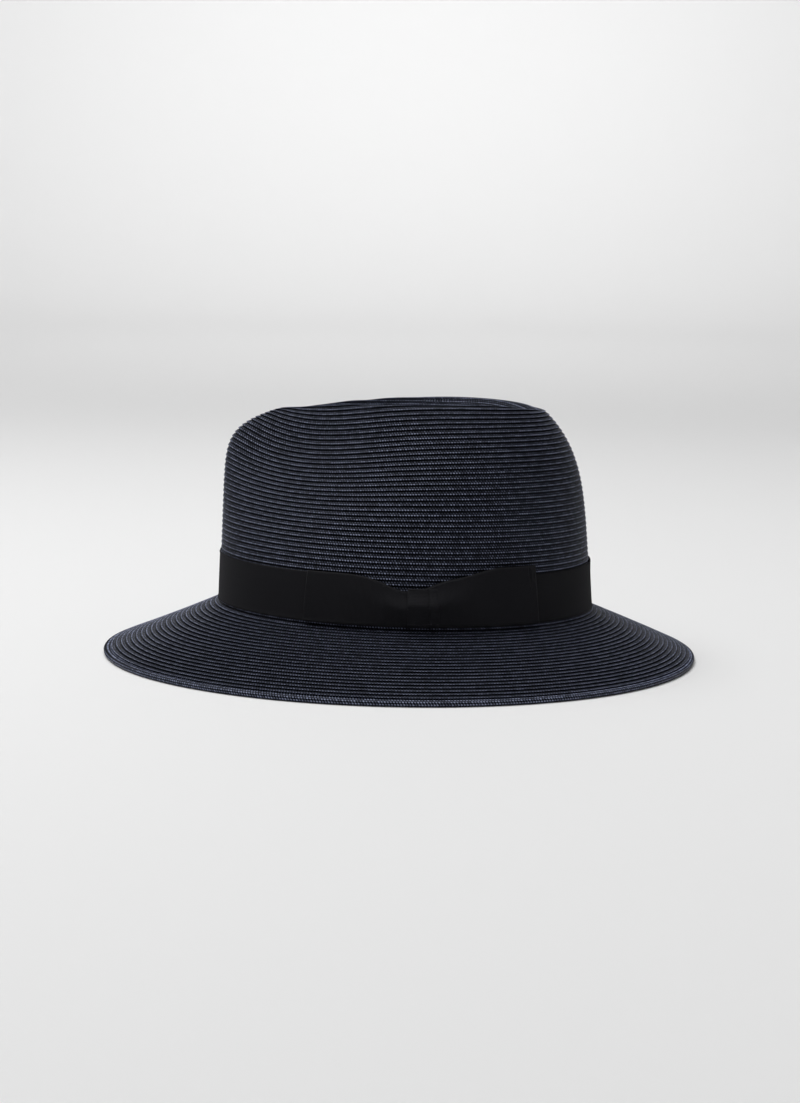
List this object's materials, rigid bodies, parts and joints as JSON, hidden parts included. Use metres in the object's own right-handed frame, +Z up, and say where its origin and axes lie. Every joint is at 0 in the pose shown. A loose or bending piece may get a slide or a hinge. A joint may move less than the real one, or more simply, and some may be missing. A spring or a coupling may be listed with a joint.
{
  "type": "fedora hat",
  "caption": "Fedora sewn from narrow navy braid with a teardrop crown, a gently sloping brim, a black grosgrain band and a flat side bow.",
  "frame": {"origin": "centre of the brim's outline on the plane that the brim's edge rests on", "axes": "+Z up, -Y towards the hat's front, +X towards the wearer's left, where the bow is"},
  "size_m": [0.2904, 0.3242, 0.1393],
  "materials": {
    "navy_braid": "plaited paper-straw braid, dyed navy, satin",
    "black_grosgrain": "matt ribbed grosgrain ribbon",
    "black_twill": "soft cotton twill",
    "black_thread": "polyester sewing thread",
    "spring_wire": "bright spring wire",
    "label_satin": "blank satin label"
  },
  "bodies": {
    "root": {"crown_tip": "navy_braid", "crown_side": "navy_braid", "brim": "navy_braid", "brim_edge_row": "navy_braid", "brim_wire": "spring_wire", "wire_joiner": "spring_wire", "sweatband": "black_twill", "sweatband_seam_tape": "black_grosgrain", "sweatband_stitch_row": "black_thread", "size_label": "label_satin", "ribbon_band": "black_grosgrain", "bow_front_loop": "black_grosgrain", "bow_rear_loop": "black_grosgrain", "bow_knot": "black_grosgrain", "bow_knot_fold": "black_grosgrain", "band_tack_front": "black_thread", "band_tack_rear": "black_thread", "band_tack_right": "black_thread", "bow_tack_front": "black_thread", "bow_tack_rear": "black_thread"}
  },
  "joints": []
}
